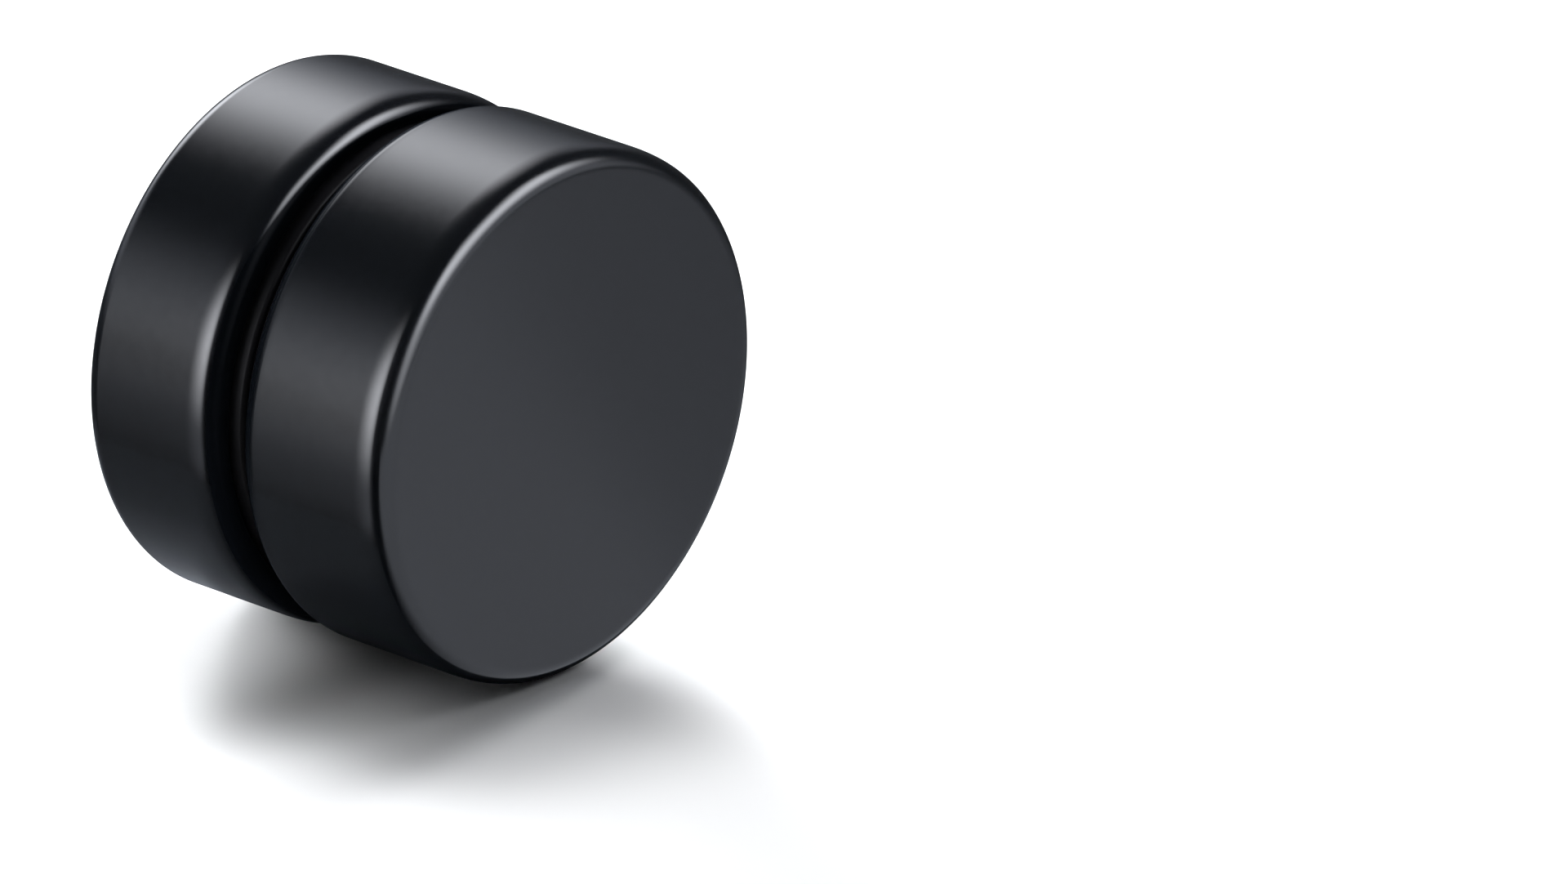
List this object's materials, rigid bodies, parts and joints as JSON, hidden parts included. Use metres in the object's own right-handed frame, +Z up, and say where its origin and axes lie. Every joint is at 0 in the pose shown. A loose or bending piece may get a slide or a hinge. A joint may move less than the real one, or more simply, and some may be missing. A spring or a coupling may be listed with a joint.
{
  "type": "magnetic stud earring",
  "caption": "Black magnetic stud earring: round front disc and round back disc with rounded rims, held across the lobe by glued-in disc magnets, lying on its side.",
  "frame": {"origin": "on the table, under the middle of the stud that lies on its curved side", "axes": "+Z up, Y along the stud's axis, the display face towards -Y and the back disc towards +Y"},
  "size_m": [0.01, 0.0074, 0.01],
  "materials": {
    "front_cup": "black plated steel, satin gloss",
    "front_magnet": "black nickel plated magnet, semi-gloss",
    "back_magnet": "black nickel plated magnet, semi-gloss",
    "back_cup": "black plated steel, satin gloss"
  },
  "bodies": {
    "front": {"front_cup": "front_cup", "front_magnet": "front_magnet"},
    "back": {"back_magnet": "back_magnet", "back_cup": "back_cup"}
  },
  "joints": [
    {"name": "back_pull", "type": "slide", "parent": "front", "child": "back", "axis": [0, 1, 0], "range_m": [0, 0.01], "stiffness_N_per_m": 2, "springref_m": -0.03}
  ]
}
